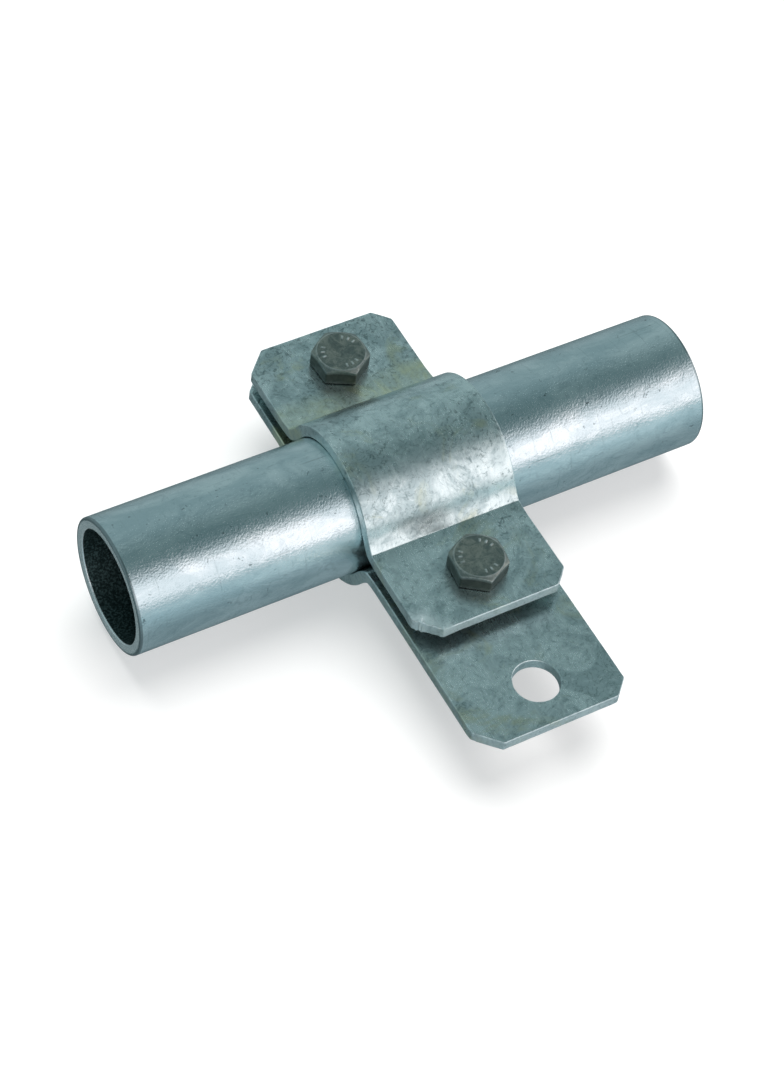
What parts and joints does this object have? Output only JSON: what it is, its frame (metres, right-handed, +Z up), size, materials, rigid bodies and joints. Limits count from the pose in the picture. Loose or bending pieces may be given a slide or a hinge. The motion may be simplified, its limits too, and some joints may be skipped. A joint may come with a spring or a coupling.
{
  "type": "scaffold coupler clamp",
  "caption": "Bolted strap clamp that grips a scaffold tube between a saddle plate and a longer plate whose ear carries a fixing lug.",
  "frame": {"origin": "on the tube's axis, halfway across the width of the clamp plates", "axes": "+X along the tube, +Y towards the short rear ears (the lug is on -Y), +Z up through the bolt heads"},
  "size_m": [0.2175, 0.1715, 0.0574],
  "materials": {
    "galvanised_plate": "hot-dip galvanised, mottled grey-blue with dull patches",
    "galvanised_tube": "smooth bright galvanised, fine grain",
    "dull_bolt": "dull dark grey steel, slightly oily",
    "zinc_washer": "zinc plated, satin"
  },
  "bodies": {
    "lower_plate": {"lower_clamp_plate": "galvanised_plate"},
    "upper_plate": {"upper_clamp_plate": "galvanised_plate"},
    "tube": {"scaffold_tube": "galvanised_tube"},
    "front_bolt": {"front_bolt": "dull_bolt"},
    "rear_bolt": {"rear_bolt": "dull_bolt"},
    "front_washer": {"front_washer": "zinc_washer"},
    "rear_washer": {"rear_washer": "zinc_washer"},
    "front_nut": {"front_nut": "dull_bolt"},
    "rear_nut": {"rear_nut": "dull_bolt"}
  },
  "joints": [
    {"name": "tube_slide", "type": "slide", "parent": "lower_plate", "child": "tube", "axis": [1, 0, 0], "range_m": [-0.079, 0.081]},
    {"name": "upper_plate_lift", "type": "slide", "parent": "lower_plate", "child": "upper_plate", "axis": [0, 0, 1], "range_m": [0, 0.04]},
    {"name": "front_bolt_lift", "type": "slide", "parent": "upper_plate", "child": "front_bolt", "axis": [0, 0, 1], "range_m": [0, 0.032]},
    {"name": "rear_bolt_lift", "type": "slide", "parent": "upper_plate", "child": "rear_bolt", "axis": [0, 0, 1], "range_m": [0, 0.032]},
    {"name": "front_washer_drop", "type": "slide", "parent": "lower_plate", "child": "front_washer", "axis": [0, 0, -1], "range_m": [0, 0.01401]},
    {"name": "rear_washer_drop", "type": "slide", "parent": "lower_plate", "child": "rear_washer", "axis": [0, 0, -1], "range_m": [0, 0.01401]},
    {"name": "front_nut_turn", "type": "hinge", "parent": "front_washer", "child": "front_nut", "pos_m": [0.0012, -0.048, -0.0149], "axis": [0, 0, -1], "range_deg": [0, 2880]},
    {"name": "rear_nut_turn", "type": "hinge", "parent": "rear_washer", "child": "rear_nut", "pos_m": [0.0012, 0.048, -0.0149], "axis": [0, 0, -1], "range_deg": [0, 2880]}
  ],
  "couplings": [
    {"joint": "front_washer_drop", "follows": "front_nut_turn", "m_per_rad": 0.00027852},
    {"joint": "rear_washer_drop", "follows": "rear_nut_turn", "m_per_rad": 0.00027852}
  ]
}
